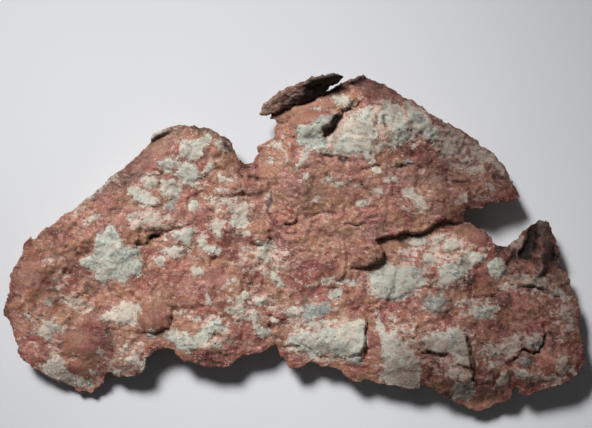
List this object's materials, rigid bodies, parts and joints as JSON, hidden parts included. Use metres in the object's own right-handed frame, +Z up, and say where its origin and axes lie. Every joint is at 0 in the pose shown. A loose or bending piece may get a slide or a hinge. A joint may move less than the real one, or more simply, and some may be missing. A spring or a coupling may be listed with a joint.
{
  "type": "native copper sheet specimen",
  "caption": "Crumpled sheet of native copper with a torn rim and lumps of pale grey-green mineral crust, lying on its back.",
  "frame": {"origin": "centre of the bounding box in plan, at the height of the surface that the sheet lies on", "axes": "+X to the right along the sheet's length as pictured, +Y towards the top of the picture, +Z up out of the sheet's front face"},
  "size_m": [0.2024, 0.1174, 0.0182],
  "materials": {
    "native_copper": "rough, hackly, red-brown native copper with dull grey-green mineral crust"
  },
  "bodies": {
    "root": {"copper_sheet": "native_copper"}
  },
  "joints": []
}
